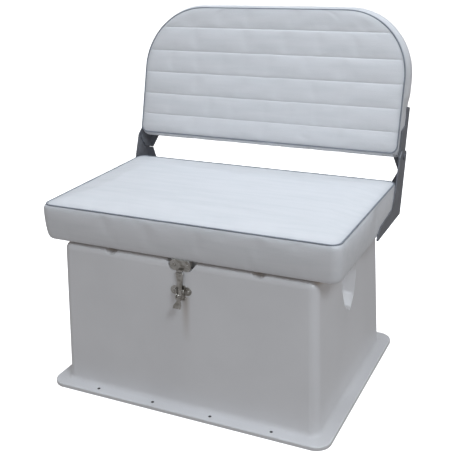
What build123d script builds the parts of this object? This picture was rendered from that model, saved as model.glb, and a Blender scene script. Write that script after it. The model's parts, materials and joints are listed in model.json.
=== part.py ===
from build123d import *
import os
from math import atan, cos, radians, sin, sqrt

# Locker seat for a small boat. A moulded box with a screw-down flange carries an upholstered lid
# on two rear hinges. A backrest folds forward onto the lid on a pair of side brackets, and a
# lever latch pulls the lid down at the front.
# X runs across the seat, Y from front to back and Z up. The origin is in the middle of the base.

# Moulded box
box_base_width = 578.0
box_base_depth = 422.4
box_side_lean = 11.0  # how far each side wall leans in at the top
box_end_lean = 16.4  # the same for the front and back walls
box_height = 322.0
box_corner_radius = 18.0
box_top_radius = 16.0
box_wall = 5.0
flange_side_reach = 26.5
flange_end_reach = 30.8
flange_thickness = 8.5
flange_corner_radius = 32.0
flange_root_radius = 9.0
flange_edge_radius = 2.5
flange_hole_radius = 2.75
flange_hole_setback = 14.6
flange_hole_outer_x = 199.2
flange_hole_inner_x = 66.4
hatch_side_land = 38.0  # rim left round the hatch, measured from the outside of the box top
hatch_front_land = 50.0
hatch_back_land = 45.0
hatch_corner_radius = 35.0
floor_thickness = 6.0
floor_gap = 0.3

# Hand scoops in the side walls, heights measured down from the box top
scoop_centre_y = -8.0
scoop_half_width = 51.0
scoop_shoulder_drop = 74.0
scoop_elbow_half_width = 34.0
scoop_elbow_drop = 116.0
scoop_tip_drop = 148.0
scoop_side_radius = 30.0
scoop_tip_radius = 18.0
scoop_depth = 18.0
scoop_bevel = 14.0

# Vent scallops and latch recess in the front edge
vent_x = 162.0
vent_axis_rise = 11.0
vent_mouth_radius = 23.8
vent_end_radius = 10.5
vent_lead = 6.0
vent_length = 40.0
recess_top_half_width = 35.0
recess_floor_half_width = 21.0
recess_drop = 18.5
recess_depth = 18.0
recess_radius = 7.0

# Lid hinges
hinge_x = 190.0
hinge_width = 60.0
hinge_leaf_length = 34.0
hinge_setback = 7.2  # axis behind the box top
leaf_thickness = 1.4
leaf_gap = 0.2
knuckle_radius = 3.0
knuckle_gap = 0.3
hinge_pin_radius = 1.5
hinge_screw_x = 20.0
hinge_screw_setback = 20.0
buffer_radius = 8.0
buffer_inset_x = 27.0
buffer_inset_y = 64.0

# Seat
seat_side_overhang = 39.5  # seam beyond the box top
seat_front_overhang = 0.4
seat_back_setback = 2.6
seat_seam_height = 75.5  # above the underside of the lid
seat_crown = 9.0
seat_crown_steps = [(0.4, 14.0), (0.77, 48.0), (1.0, 110.0)]  # share of the rise, inset from the seam
seat_draw_in = 2.0
seat_side_steps = [(0.1, -0.8), (0.5, -2.2), (0.85, -2.2)]  # share of the height, inset from the seam
seat_bow = 2.5
seat_corner_radius = 18.0
seat_board_thickness = 12.0
seat_board_inset = 10.0
board_corner_radius = 20.0
soft_gap = 0.3
piping_radius = 1.8

# Backrest, measured along its own slope
back_tilt = 15.6
back_height = 297.0
back_top_radius = 140.0
back_bottom_radius = 15.0
back_thickness = 47.0
back_panel_thickness = 3.0
back_panel_inset = 3.5
back_board_thickness = 12.0
back_board_inset = 5.0
back_side_steps = [(1.0, -5.0), (0.6, -8.0), (0.25, -5.0), (0.0, 1.0)]  # share of the depth, inset
back_seams = [0.0, 44.0, 93.0, 144.0, 195.0, 250.0]
channel_rise = 6.0
channel_margin = 1.0

# Folding brackets
bracket_thickness = 3.0
bracket_clearance = 1.2
washer_thickness = 0.5
washer_radius = 10.0
pivot_behind_seat = 35.8  # pivot behind the seat's back seam
pivot_above_seat = 47.5  # pivot above the seat's seam
pivot_setback = 31.2  # pivot behind the front of the backrest
pivot_drop = 5.3  # pivot below the bottom seam of the backrest
pivot_radius = 4.0
pivot_clearance = 0.06
pivot_head_radius = 7.0
pivot_head_height = 3.2
arm_reach = 198.0
arm_height = 24.0
arm_bevel = 32.0
arm_flange_width = 36.0
arm_flange_start = 150.0
rear_flange_width = 27.0
rear_flange_neck = 14.0
slit_drop = 37.0
slit_gap = 0.8
bar_height = 101.0
bar_width = 18.0
bar_step = 62.0
bar_slope = 14.0
web_setback = 7.0
web_chin = 12.0
upper_corner_radius = 6.0
lower_top = 8.0  # top of the lower bracket above the backrest's bottom seam
lower_nose = 18.0
lower_corner_radius = 8.0
neck_reach = 52.0
arm_root = 78.0
arm_rise = 8.0
arm_tip_radius = 4.0
arm_flange_length = 132.0
arm_screw_inset = 10.0
arm_screw_start = 14.0
arm_screw_pitch = 38.0
rear_flange_taper = 28.0
bar_screw_inset = 9.0
bar_screws = [26.0, 80.0]
bracket_screw_radius = 2.4

# Lever latch on the front wall, in its own frame: up the wall and out from it
latch_drop = 60.0  # middle of the latch's base below the top of the box
latch_ear_width = 46.0
latch_ear_height = 17.0
latch_plate = 1.5
latch_base_up = -4.0
latch_base_height = 31.0
latch_cheek_gap = 0.8
latch_cheek_radius = 4.4
latch_pivot_up = 2.0
latch_pivot_out = 8.0
latch_pivot_radius = 1.8
latch_link_drop = 12.0  # link pin below the lever pivot
latch_link_inset = 3.2  # link pin nearer to the wall than the pivot
latch_link_radius = 1.5
latch_fit = 0.05
latch_screw_x = 16.5
link_half_width = 5.0
link_thickness = 1.6
link_eye_radius = 2.7
link_bar_half_width = 8.0
link_bar_radius = 1.8
link_length = 47.0
link_shank = 24.0
lever_cheek = 1.6
lever_rise = 4.3  # lever's edge beyond its pivot
lever_start = 12.0
lever_bend = 18.0
lever_bend_radius = 6.0
lever_side_gap = 0.7
lever_drop = 31.0
lever_flare = 9.0
lever_end_width = 17.0
lever_neck_width = 8.0
keeper_proud = 0.7
keeper_half_width = 23.0
keeper_height = 21.5
keeper_plate = 1.5
keeper_drop = 0.5
keeper_corner_radius = 9.0
keeper_block_chamfer = 2.0
keeper_lip_half_width = 5.5
keeper_lip_reach = 8.0
keeper_lip_turn = 4.0
keeper_screw_x = 14.0
keeper_block_half_width = 18.0
keeper_block_height = 17.0
keeper_block_depth = 14.0
screw_radius = 1.8
screw_head_radius = 3.7
screw_head_height = 1.3
screw_clearance = 0.1
sink_angle = 111.2

# Places that follow from those sizes
box_top_width = box_base_width - 2 * box_side_lean
box_top_depth = box_base_depth - 2 * box_end_lean
flange_width = box_base_width + 2 * flange_side_reach
flange_depth = box_base_depth + 2 * flange_end_reach
flange_hole_y = flange_depth / 2 - flange_hole_setback
hatch_half_width = box_top_width / 2 - hatch_side_land
hatch_front = -box_top_depth / 2 + hatch_front_land
hatch_back = box_top_depth / 2 - hatch_back_land

lid_gap = 2 * leaf_thickness + leaf_gap
lid_bottom = box_height + lid_gap
hinge_y = box_top_depth / 2 + hinge_setback
hinge_z = box_height + lid_gap / 2
knuckle_length = hinge_width / 3 - knuckle_gap
leaf_back = hinge_y - knuckle_radius - knuckle_gap
leaf_front = leaf_back - hinge_leaf_length
hinge_screw_y = leaf_back - hinge_screw_setback

seat_half = box_top_width / 2 + seat_side_overhang
seat_front = -box_top_depth / 2 - seat_front_overhang
seat_back = box_top_depth / 2 - seat_back_setback
seat_seam = lid_bottom + seat_seam_height
# The piping lies in a groove between the top panel and the side band.
seam_half = piping_radius - 0.2
seam_inset = sqrt(piping_radius**2 - seam_half**2) + 0.2

lower_web = seat_half + piping_radius + bracket_clearance
upper_web = lower_web - washer_thickness - bracket_thickness
back_half = upper_web - bracket_clearance - piping_radius
pivot_y = seat_back + pivot_behind_seat
pivot_z = seat_seam + pivot_above_seat
tilt_sin, tilt_cos = sin(radians(back_tilt)), cos(radians(back_tilt))
back_y = pivot_y - pivot_setback * tilt_cos + pivot_drop * tilt_sin
back_z = pivot_z + pivot_setback * tilt_sin + pivot_drop * tilt_cos
back_rear = back_thickness + back_panel_thickness
bracket_rear = back_rear + bracket_thickness
pocket_width = 2 * bracket_thickness + bracket_clearance  # side of the cushion pressed flat by a bracket
pocket_x = upper_web - soft_gap + pocket_width / 2
pocket_top = bar_height + 2 * bracket_thickness

wall_lean = atan(box_end_lean / box_height)
latch_height = box_height - latch_drop
latch_y = -box_base_depth / 2 + box_end_lean * latch_height / box_height
link_pin_up = latch_pivot_up - latch_link_drop
link_pin_out = latch_pivot_out - latch_link_inset
lever_inner = link_half_width + lever_side_gap
lever_outer = lever_inner + lever_cheek
latch_cheek = lever_outer + latch_cheek_gap
keeper_front = -box_top_depth / 2 - keeper_proud


def back_point(front, up):
    """Y and Z of a point of the backrest, measured forward of its front plane and up its slope."""
    return (back_y - front * tilt_cos + up * tilt_sin, back_z + front * tilt_sin + up * tilt_cos)


def back_up(front, z):
    """Distance up the slope at which a plane of the backrest reaches a height."""
    return (z - back_z - front * tilt_sin) / tilt_cos


def back_plane(front):
    """Plane of the backrest, facing forward, at a distance in front of its front plane."""
    y, z = back_point(front, 0)
    return Plane(origin=(0, y, z), x_dir=(1, 0, 0), z_dir=(0, -tilt_cos, tilt_sin))


latch_plane = Plane(
    origin=(0, latch_y, latch_height), x_dir=(1, 0, 0), z_dir=(0, -cos(wall_lean), sin(wall_lean))
)
# Side view of the latch: first axis up the wall, second axis out from it.
latch_side = Plane(origin=latch_plane.origin, x_dir=latch_plane.y_dir, z_dir=(1, 0, 0))


def box_skin(inset):
    """Drafted body of the box with rolled top edges, shrunk by inset all round."""
    with BuildPart() as skin:
        with BuildSketch(Plane.XY):
            RectangleRounded(
                box_base_width - 2 * inset, box_base_depth - 2 * inset, box_corner_radius - inset
            )
        with BuildSketch(Plane.XY.offset(box_height - inset)):
            RectangleRounded(
                box_top_width - 2 * inset, box_top_depth - 2 * inset, box_corner_radius - inset
            )
        loft(ruled=True)
        fillet(skin.edges().group_by(Axis.Z)[-1], box_top_radius - inset)
    return skin.part


def scoop_outline(x, grow):
    """Rounded V of a hand scoop on a plane across X, grown or shrunk all round."""
    top = box_height + box_wall + scoop_bevel
    half = [
        (scoop_half_width, top),
        (scoop_half_width, box_height - scoop_shoulder_drop),
        (scoop_elbow_half_width, box_height - scoop_elbow_drop),
    ]
    right = [(scoop_centre_y + w, z) for w, z in half]
    left = [(scoop_centre_y - w, z) for w, z in reversed(half)]
    with BuildSketch(Plane.YZ.offset(x)) as outline:
        with BuildLine():
            Polyline(*right, (scoop_centre_y, box_height - scoop_tip_drop), *left, close=True)
        make_face()
        sides = outline.vertices().group_by(Axis.Y)[1:3]
        fillet(sides[0] + sides[1], scoop_side_radius)
        fillet(outline.vertices().group_by(Axis.Y)[0], scoop_tip_radius)
        if grow:
            offset(amount=grow, kind=Kind.ARC, mode=Mode.REPLACE)
    return outline.sketch


def hand_scoop(grow):
    """Hand recess of the right wall, or the wall behind it when grown by its thickness."""
    with BuildPart() as pocket:
        loft(
            [
                scoop_outline(box_base_width / 2, grow),
                scoop_outline(box_top_width / 2 - scoop_depth - grow, grow - scoop_bevel),
            ],
            ruled=True,
        )
    return pocket.part


def vent(grow):
    """Scallop that runs back from the front edge and rises to the level of the rim."""
    mouth = -box_top_depth / 2 - vent_lead
    with BuildPart() as cone:
        with Locations((0, mouth + (vent_length + grow) / 2, box_height + vent_axis_rise)):
            Cone(
                vent_mouth_radius + grow, vent_end_radius + grow, vent_length + grow, rotation=(-90, 0, 0)
            )
    return cone.part


def latch_recess(grow):
    """Notch in the front edge that clears the keeper block of the lid."""
    top = box_height + recess_drop
    spread = (recess_top_half_width - recess_floor_half_width) / recess_drop
    wide = recess_top_half_width + spread * recess_drop + grow
    with BuildPart() as notch:
        with BuildSketch(Plane.XZ.offset(box_base_depth / 2)) as outline:
            with BuildLine():
                Polyline(
                    (-wide, top),
                    (-recess_floor_half_width - grow, box_height - recess_drop - grow),
                    (recess_floor_half_width + grow, box_height - recess_drop - grow),
                    (wide, top),
                    close=True,
                )
            make_face()
            fillet(outline.vertices().group_by(Axis.Y)[0], recess_radius + grow)
        extrude(amount=-(box_end_lean + recess_depth + grow))
    return notch.part


def countersunk(length):
    """Countersunk screw, its flat head level with Z = 0."""
    with BuildPart() as screw:
        with BuildSketch(Plane.XZ):
            with BuildLine():
                Polyline(
                    (0, 0), (screw_head_radius, 0), (screw_radius, -screw_head_height),
                    (screw_radius, -length), (0, -length), close=True,
                )
            make_face()
        revolve(axis=Axis.Z)
    return screw.part


def pan_head(radius, length):
    """Pan-head screw that stands on Z = 0."""
    head = 2 * radius
    with BuildPart() as screw:
        with BuildSketch(Plane.XZ):
            with BuildLine():
                Polyline(
                    (0, 1.1 * radius), (0.62 * head, 1.1 * radius), (head, 0.45 * radius), (head, 0),
                    (radius, 0), (radius, -length), (0, -length), close=True,
                )
            make_face()
        revolve(axis=Axis.Z)
    return screw.part


def seat_outline(z, inset):
    """Plan of the seat cushion at a height, with sides drawn in between the corners."""
    half, front, back = seat_half - inset, seat_front + inset, seat_back - inset
    middle = (front + back) / 2
    with BuildSketch(Plane.XY.offset(z)) as plan:
        with BuildLine():
            ThreePointArc((-half, front), (0, front + seat_bow), (half, front))
            ThreePointArc((half, front), (half - seat_bow, middle), (half, back))
            ThreePointArc((half, back), (0, back - seat_bow), (-half, back))
            ThreePointArc((-half, back), (-half + seat_bow, middle), (-half, front))
        make_face()
        fillet(plan.vertices(), seat_corner_radius)
    return plan.sketch


def back_outline(front, inset):
    """Front view of the backrest on one of its planes, with wide round top corners."""
    half = back_half - inset
    with BuildSketch(back_plane(front)) as view:
        with Locations((0, back_height / 2)):
            Rectangle(2 * half, back_height - 2 * inset)
        fillet(view.vertices().group_by(Axis.Y)[-1], back_top_radius - inset)
        fillet(view.vertices().group_by(Axis.Y)[0], back_bottom_radius - inset)
    return view.sketch


def piping(seam):
    """Round cord along the edge of an outline."""
    path = seam.face().outer_wire()
    with BuildPart() as cord:
        with BuildSketch(Plane(origin=path @ 0, z_dir=path % 0)):
            Circle(piping_radius)
        sweep(path=path)
    return cord.part


def back_edge(x):
    """Height of the backrest's top edge at a distance from its middle."""
    past = max(0.0, abs(x) - (back_half - back_top_radius))
    return back_height - back_top_radius + sqrt(max(0.0, back_top_radius**2 - past**2))


def channel(low, high):
    """One sewn channel of the backrest: a pad that swells in the middle and dies out at its ends."""
    end = back_half - 2 * piping_radius
    if low > back_height - back_top_radius:
        past = low + 14 - (back_height - back_top_radius)
        end = back_half - back_top_radius + sqrt(back_top_radius**2 - past**2) - piping_radius
    stations = [(1.0, 0.15), (0.9, 0.7), (0.55, 0.95), (0.0, 1.0)]
    stations = [(-share, swell) for share, swell in stations[:-1]] + stations[::-1]
    sections = []
    for share, swell in stations:
        x = share * end
        bottom = low + channel_margin
        top = min(high, back_edge(x) - piping_radius) - channel_margin
        plane = Plane(origin=(x, back_y, back_z), x_dir=(0, tilt_sin, tilt_cos), z_dir=(1, 0, 0))
        with BuildSketch(plane) as section:
            with BuildLine():
                ThreePointArc((bottom, 0), ((bottom + top) / 2, channel_rise * swell), (top, 0))
                Polyline((top, 0), (top, -1), (bottom, -1), (bottom, 0))
            make_face()
        sections.append(section.sketch)
    with BuildPart() as pad:
        loft(sections)
    return pad.part


def hinge_leaf(bottom, seats):
    """Hinge leaf with its knuckles at the given places along the axis."""
    with BuildPart() as leaf:
        with BuildSketch(Plane.XY.offset(bottom)):
            with Locations((0, (leaf_front + leaf_back) / 2)):
                Rectangle(hinge_width, leaf_back - leaf_front)
            with Locations(*[(x, (leaf_back + hinge_y) / 2) for x in seats]):
                Rectangle(knuckle_length, hinge_y - leaf_back)
        extrude(amount=leaf_thickness)
        with Locations(*[(x, hinge_y, hinge_z) for x in seats]):
            Cylinder(knuckle_radius, knuckle_length, rotation=(0, 90, 0))
        with Locations((0, hinge_y, hinge_z)):
            Cylinder(
                hinge_pin_radius + latch_fit, 2 * hinge_width, rotation=(0, 90, 0), mode=Mode.SUBTRACT
            )
    return leaf.part


def rear_flange(web, low, high, neck_low):
    """Flange behind the backrest, cut back to a neck at the slit between the two brackets."""
    outer = web + bracket_thickness
    inner = lower_web + bracket_thickness - rear_flange_width
    neck = lower_web + bracket_thickness - rear_flange_neck
    if neck_low:
        inside = [(inner, high), (inner, low + rear_flange_taper), (neck, low)]
    else:
        inside = [(neck, high), (inner, high - rear_flange_taper), (inner, low)]
    with BuildPart() as flange:
        with BuildSketch(back_plane(-bracket_rear)):
            with BuildLine():
                Polyline((outer, low), (outer, high), *inside, close=True)
            make_face()
        extrude(amount=bracket_thickness)
    return flange.part


def lower_bracket():
    """Right lower bracket: a side web with an arm, a flange under the lid and one at the rear."""
    bottom = lid_bottom - bracket_thickness
    tip = pivot_y - arm_reach
    heel = back_up(-bracket_rear, bottom)
    with BuildPart() as bracket:
        with BuildSketch(Plane.YZ.offset(lower_web)) as web:
            with BuildLine():
                Polyline(
                    (tip, bottom),
                    back_point(-bracket_rear, heel),
                    back_point(-bracket_rear, lower_top),
                    back_point(-pivot_setback + lower_nose, lower_top),
                    back_point(0, -pivot_drop - 3),
                    (pivot_y - neck_reach, seat_seam),
                    (pivot_y - arm_root, bottom + arm_height + arm_rise),
                    (tip + arm_bevel, bottom + arm_height),
                    close=True,
                )
            make_face()
            fillet(web.vertices().filter_by(lambda v: v.Y > seat_seam + 1), lower_corner_radius)
            fillet(web.vertices().group_by(Axis.X)[0], arm_tip_radius)
        extrude(amount=bracket_thickness)
        with BuildSketch(Plane.XY.offset(bottom)):
            with Locations((lower_web + bracket_thickness, pivot_y - arm_flange_start)):
                Rectangle(arm_flange_width, arm_flange_length, align=(Align.MAX, Align.MIN))
        extrude(amount=bracket_thickness)
        add(rear_flange(lower_web, heel, -slit_drop - slit_gap, False))
        with Locations(Location((lower_web, pivot_y, pivot_z), (0, 90, 0))):
            Hole(pivot_radius + pivot_clearance)
        with Locations(*arm_screws):
            Hole(bracket_screw_radius + screw_clearance)
    return bracket.part


def upper_bracket():
    """Right upper bracket: a web that narrows to a bar beside the backrest, with a rear flange."""
    with BuildPart() as bracket:
        with BuildSketch(Plane.YZ.offset(upper_web)) as web:
            with BuildLine():
                Polyline(
                    back_point(-bracket_rear, -slit_drop),
                    back_point(-bracket_rear, bar_height),
                    back_point(-bracket_rear + bar_width, bar_height),
                    back_point(-bracket_rear + bar_width, bar_step),
                    back_point(-web_setback, bar_step - bar_slope),
                    back_point(-web_setback, -pivot_drop - web_chin),
                    back_point(-pivot_setback, -slit_drop),
                    close=True,
                )
            make_face()
            fillet(web.vertices().group_by(Axis.X)[0], upper_corner_radius)
        extrude(amount=bracket_thickness)
        add(rear_flange(upper_web, -slit_drop, bar_height, True))
        with Locations(Location((upper_web, pivot_y, pivot_z), (0, 90, 0))):
            Hole(pivot_radius + pivot_clearance)
        rear = back_plane(-bracket_rear).location
        with Locations(*[rear * Location((bar_screw_x, v)) for v in bar_screws]):
            Hole(bracket_screw_radius + screw_clearance)
    return bracket.part


# Fastener places shared by the pieces they go through
hinge_screws = [(x + s, hinge_screw_y) for x in (-hinge_x, hinge_x) for s in (-hinge_screw_x, hinge_screw_x)]
flange_middle = lower_web + bracket_thickness - arm_flange_width + arm_screw_inset
arm_screws = [
    (flange_middle, pivot_y - arm_flange_start + arm_screw_start + arm_screw_pitch * i, lid_bottom)
    for i in range(3)
]
bar_screw_x = lower_web + bracket_thickness - rear_flange_width + bar_screw_inset
both_sides = (-1, 1)

# Box: outer skin less the scoops, vents and recess, and less an inner skin that keeps a wall round them
with BuildPart() as hold:
    add(box_skin(box_wall))
    scoop_wall = hand_scoop(box_wall)
    add(scoop_wall, mode=Mode.SUBTRACT)
    add(scoop_wall.mirror(Plane.YZ), mode=Mode.SUBTRACT)
    with Locations((-vent_x, 0), (vent_x, 0)):
        add(vent(box_wall), mode=Mode.SUBTRACT)
    add(latch_recess(box_wall), mode=Mode.SUBTRACT)

with BuildPart() as flange:
    with BuildSketch():
        RectangleRounded(flange_width, flange_depth, flange_corner_radius)
    extrude(amount=flange_thickness)
    fillet(flange.edges().group_by(Axis.Z)[-1], flange_edge_radius)

with BuildPart() as box_shell:
    add(box_skin(0))
    add(flange.part)
    root = box_shell.edges().filter_by_position(Axis.Z, flange_thickness - 0.01, flange_thickness + 0.01)
    root = root.filter_by(
        lambda e: abs(e.center().X) < box_base_width / 2 and abs(e.center().Y) < box_base_depth / 2
    )
    fillet(root, flange_root_radius)
    scoop_void = hand_scoop(0)
    add(scoop_void, mode=Mode.SUBTRACT)
    add(scoop_void.mirror(Plane.YZ), mode=Mode.SUBTRACT)
    with Locations((-vent_x, 0), (vent_x, 0)):
        add(vent(0), mode=Mode.SUBTRACT)
    add(latch_recess(0), mode=Mode.SUBTRACT)
    add(hold.part, mode=Mode.SUBTRACT)
    with BuildSketch(Plane.XY.offset(box_height)):
        with Locations((0, (hatch_front + hatch_back) / 2)):
            RectangleRounded(2 * hatch_half_width, hatch_back - hatch_front, hatch_corner_radius)
    extrude(amount=-2 * box_wall, mode=Mode.SUBTRACT)
    for hole_x in (flange_hole_outer_x, flange_hole_inner_x):
        with GridLocations(2 * hole_x, 2 * flange_hole_y, 2, 2):
            Hole(flange_hole_radius)
    with Locations(*[(x, y, box_height) for x, y in hinge_screws]):
        Hole(screw_radius + screw_clearance, depth=2 * box_wall)
    with Locations(*[latch_plane.location * Location((s * latch_screw_x, 0)) for s in both_sides]):
        Hole(screw_radius + screw_clearance, depth=2 * box_wall)

with BuildPart() as floor_panel:
    floor_lean = floor_thickness / box_height
    with BuildSketch():
        RectangleRounded(
            box_base_width - 2 * (box_wall + floor_gap + box_side_lean * floor_lean),
            box_base_depth - 2 * (box_wall + floor_gap + box_end_lean * floor_lean),
            box_corner_radius - box_wall,
        )
    extrude(amount=floor_thickness)

with BuildPart() as lid_buffers:
    with BuildSketch(Plane.XY.offset(box_height)):
        with GridLocations(box_top_width - 2 * buffer_inset_x, box_top_depth - 2 * buffer_inset_y, 2, 2):
            Circle(buffer_radius)
    extrude(amount=lid_gap)

# Lid hinges
with BuildPart() as hinge_fixed_leaves:
    with Locations((-hinge_x, 0), (hinge_x, 0)):
        add(hinge_leaf(box_height, [0]))
    with Locations(*[(x, y, box_height + leaf_thickness) for x, y in hinge_screws]):
        CounterSinkHole(
            screw_radius + screw_clearance, screw_head_radius + screw_clearance, counter_sink_angle=sink_angle
        )

with BuildPart() as hinge_moving_leaves:
    with Locations((-hinge_x, 0), (hinge_x, 0)):
        add(hinge_leaf(lid_bottom - leaf_thickness, [-hinge_width / 3, hinge_width / 3]))
    with Locations(*[Location((x, y, lid_bottom - leaf_thickness), (180, 0, 0)) for x, y in hinge_screws]):
        CounterSinkHole(
            screw_radius + screw_clearance, screw_head_radius + screw_clearance, counter_sink_angle=sink_angle
        )

with BuildPart() as hinge_pins:
    with Locations((-hinge_x, hinge_y, hinge_z), (hinge_x, hinge_y, hinge_z)):
        Cylinder(hinge_pin_radius, hinge_width, rotation=(0, 90, 0))

with BuildPart() as hinge_box_screws:
    with Locations(*[(x, y, box_height + leaf_thickness) for x, y in hinge_screws]):
        add(countersunk(leaf_thickness + box_wall))

with BuildPart() as hinge_lid_screws:
    with Locations(*[Location((x, y, lid_bottom - leaf_thickness), (180, 0, 0)) for x, y in hinge_screws]):
        add(countersunk(leaf_thickness + 0.75 * seat_board_thickness))

# Seat: board, cushion and piping
with BuildPart() as seat_board:
    with BuildSketch(Plane.XY.offset(lid_bottom)):
        with Locations((0, (seat_front + seat_back) / 2)):
            RectangleRounded(
                2 * (seat_half - seat_board_inset), seat_back - seat_front - 2 * seat_board_inset,
                board_corner_radius,
            )
    extrude(amount=seat_board_thickness)
    with Locations(*[(x, y, lid_bottom) for x, y in hinge_screws]):
        Hole(screw_radius + screw_clearance)
    with Locations(*arm_screws, *[(-x, y, z) for x, y, z in arm_screws]):
        Hole(bracket_screw_radius + screw_clearance)

with BuildPart() as seat_piping:
    add(piping(seat_outline(seat_seam, 0)))

with BuildPart() as seat_cushion:
    side = [(0, seat_draw_in), *seat_side_steps, (1, seam_inset)]
    side_height = seat_seam_height - seam_half
    loft([seat_outline(lid_bottom + share * side_height, inset) for share, inset in side])
    extrude(seat_outline(seat_seam - seam_half, piping_radius + soft_gap), amount=2 * seam_half)
    crown = [(0, seam_inset), *seat_crown_steps]
    crown_height = seat_crown - seam_half
    loft([seat_outline(seat_seam + seam_half + share * crown_height, inset) for share, inset in crown])
    with BuildSketch(Plane.XY.offset(lid_bottom)):
        with Locations((0, (seat_front + seat_back) / 2)):
            RectangleRounded(
                2 * (seat_half - seat_board_inset + soft_gap),
                seat_back - seat_front - 2 * (seat_board_inset - soft_gap), board_corner_radius + soft_gap,
            )
    extrude(amount=seat_board_thickness, mode=Mode.SUBTRACT)

# Backrest: board, cushion with sewn channels, piping and back panel
back_face = back_plane(-bracket_rear).location
back_screws = [back_face * Location((s * bar_screw_x, v)) for s in both_sides for v in bar_screws]

with BuildPart() as backrest_board:
    extrude(back_outline(-back_thickness, back_board_inset), amount=back_board_thickness)
    with Locations(*back_screws):
        Hole(bracket_screw_radius + screw_clearance)

with BuildPart() as backrest_back_panel:
    extrude(back_outline(-back_rear, back_panel_inset), amount=back_panel_thickness)
    with Locations(*back_screws):
        Hole(bracket_screw_radius + screw_clearance)

with BuildPart() as backrest_piping:
    add(piping(back_outline(0, 0)))

with BuildPart() as backrest_cushion:
    loft([back_outline(-share * back_thickness, inset) for share, inset in back_side_steps])
    for low, high in zip(back_seams, back_seams[1:] + [back_height]):
        add(channel(max(low, 2 * piping_radius), high))
    extrude(
        back_outline(-back_thickness, back_board_inset - soft_gap), amount=back_board_thickness,
        mode=Mode.SUBTRACT,
    )
    with BuildSketch(back_plane(0)):
        with Locations(*[(side * pocket_x, pocket_top) for side in both_sides]):
            Rectangle(pocket_width, back_height, align=(Align.CENTER, Align.MAX))
    extrude(amount=-back_thickness, mode=Mode.SUBTRACT)
    add(backrest_piping.part, mode=Mode.SUBTRACT)

# Folding brackets
with BuildPart() as lower_bracket_right:
    add(lower_bracket())

with BuildPart() as lower_bracket_left:
    add(lower_bracket_right.part.mirror(Plane.YZ))

with BuildPart() as upper_bracket_right:
    add(upper_bracket())

with BuildPart() as upper_bracket_left:
    add(upper_bracket_right.part.mirror(Plane.YZ))

with BuildPart() as pivot_bolts:
    with BuildSketch(Plane.YZ.offset(upper_web)):
        with Locations((pivot_y, pivot_z)):
            Circle(pivot_radius)
    extrude(amount=lower_web + bracket_thickness - upper_web)
    with BuildSketch(Plane.YZ.offset(lower_web + bracket_thickness)):
        with Locations((pivot_y, pivot_z)):
            Circle(pivot_head_radius)
    extrude(amount=pivot_head_height)
    fillet(pivot_bolts.edges().group_by(Axis.X)[-1], 0.6 * pivot_head_height)
    mirror(about=Plane.YZ)

with BuildPart() as pivot_washers:
    with BuildSketch(Plane.YZ.offset(upper_web + bracket_thickness)):
        with Locations((pivot_y, pivot_z)):
            Circle(washer_radius)
            Circle(pivot_radius + pivot_clearance, mode=Mode.SUBTRACT)
    extrude(amount=washer_thickness)
    mirror(about=Plane.YZ)

with BuildPart() as lower_bracket_screws:
    with Locations(*[Location((x, y, z - bracket_thickness), (180, 0, 0)) for x, y, z in arm_screws]):
        add(pan_head(bracket_screw_radius, bracket_thickness + 0.75 * seat_board_thickness))
    mirror(about=Plane.YZ)

with BuildPart() as upper_bracket_screws:
    with Locations(*[place * Location((0, 0, 0), (180, 0, 0)) for place in back_screws]):
        add(pan_head(bracket_screw_radius, bracket_rear - back_thickness + 0.75 * back_board_thickness))

# Latch: base and rivets on the box, lever and link, keeper on the lid
with BuildPart() as latch_base:
    with BuildSketch(latch_plane):
        SlotOverall(latch_ear_width, latch_ear_height)
        with Locations((0, latch_base_up)):
            RectangleRounded(2 * (latch_cheek + latch_plate), latch_base_height, latch_plate)
    extrude(amount=latch_plate)
    with BuildSketch(latch_side.offset(latch_cheek)):
        with Locations((latch_pivot_up, latch_pivot_out)):
            Circle(latch_cheek_radius)
        with Locations((latch_pivot_up, 0)):
            Rectangle(2 * latch_cheek_radius, latch_pivot_out, align=(Align.CENTER, Align.MIN))
    extrude(amount=latch_plate)
    with BuildSketch(latch_side.offset(-latch_cheek - latch_plate)):
        with Locations((latch_pivot_up, latch_pivot_out)):
            Circle(latch_cheek_radius)
        with Locations((latch_pivot_up, 0)):
            Rectangle(2 * latch_cheek_radius, latch_pivot_out, align=(Align.CENTER, Align.MIN))
    extrude(amount=latch_plate)
    with BuildSketch(latch_side):
        with Locations((latch_pivot_up, latch_pivot_out)):
            Circle(latch_pivot_radius + latch_fit)
    extrude(amount=2 * latch_cheek, both=True, mode=Mode.SUBTRACT)
    with Locations(*[latch_plane.location * Location((s * latch_screw_x, 0)) for s in both_sides]):
        Hole(screw_radius + screw_clearance, depth=2 * latch_plate)
        Hole(screw_radius + screw_clearance)

with BuildPart() as latch_base_screws:
    with Locations(
        *[latch_plane.location * Location((s * latch_screw_x, 0, latch_plate)) for s in both_sides]
    ):
        add(pan_head(screw_radius, latch_plate + box_wall))

with BuildPart() as latch_rivets:
    with BuildSketch(latch_side.offset(lever_inner)):
        with Locations((latch_pivot_up, latch_pivot_out)):
            Circle(latch_pivot_radius)
    extrude(amount=latch_cheek + latch_plate - lever_inner)
    with BuildSketch(latch_side.offset(latch_cheek + latch_plate)):
        with Locations((latch_pivot_up, latch_pivot_out)):
            Circle(latch_pivot_radius + latch_plate)
    extrude(amount=latch_plate)
    mirror(about=Plane.YZ)

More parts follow.
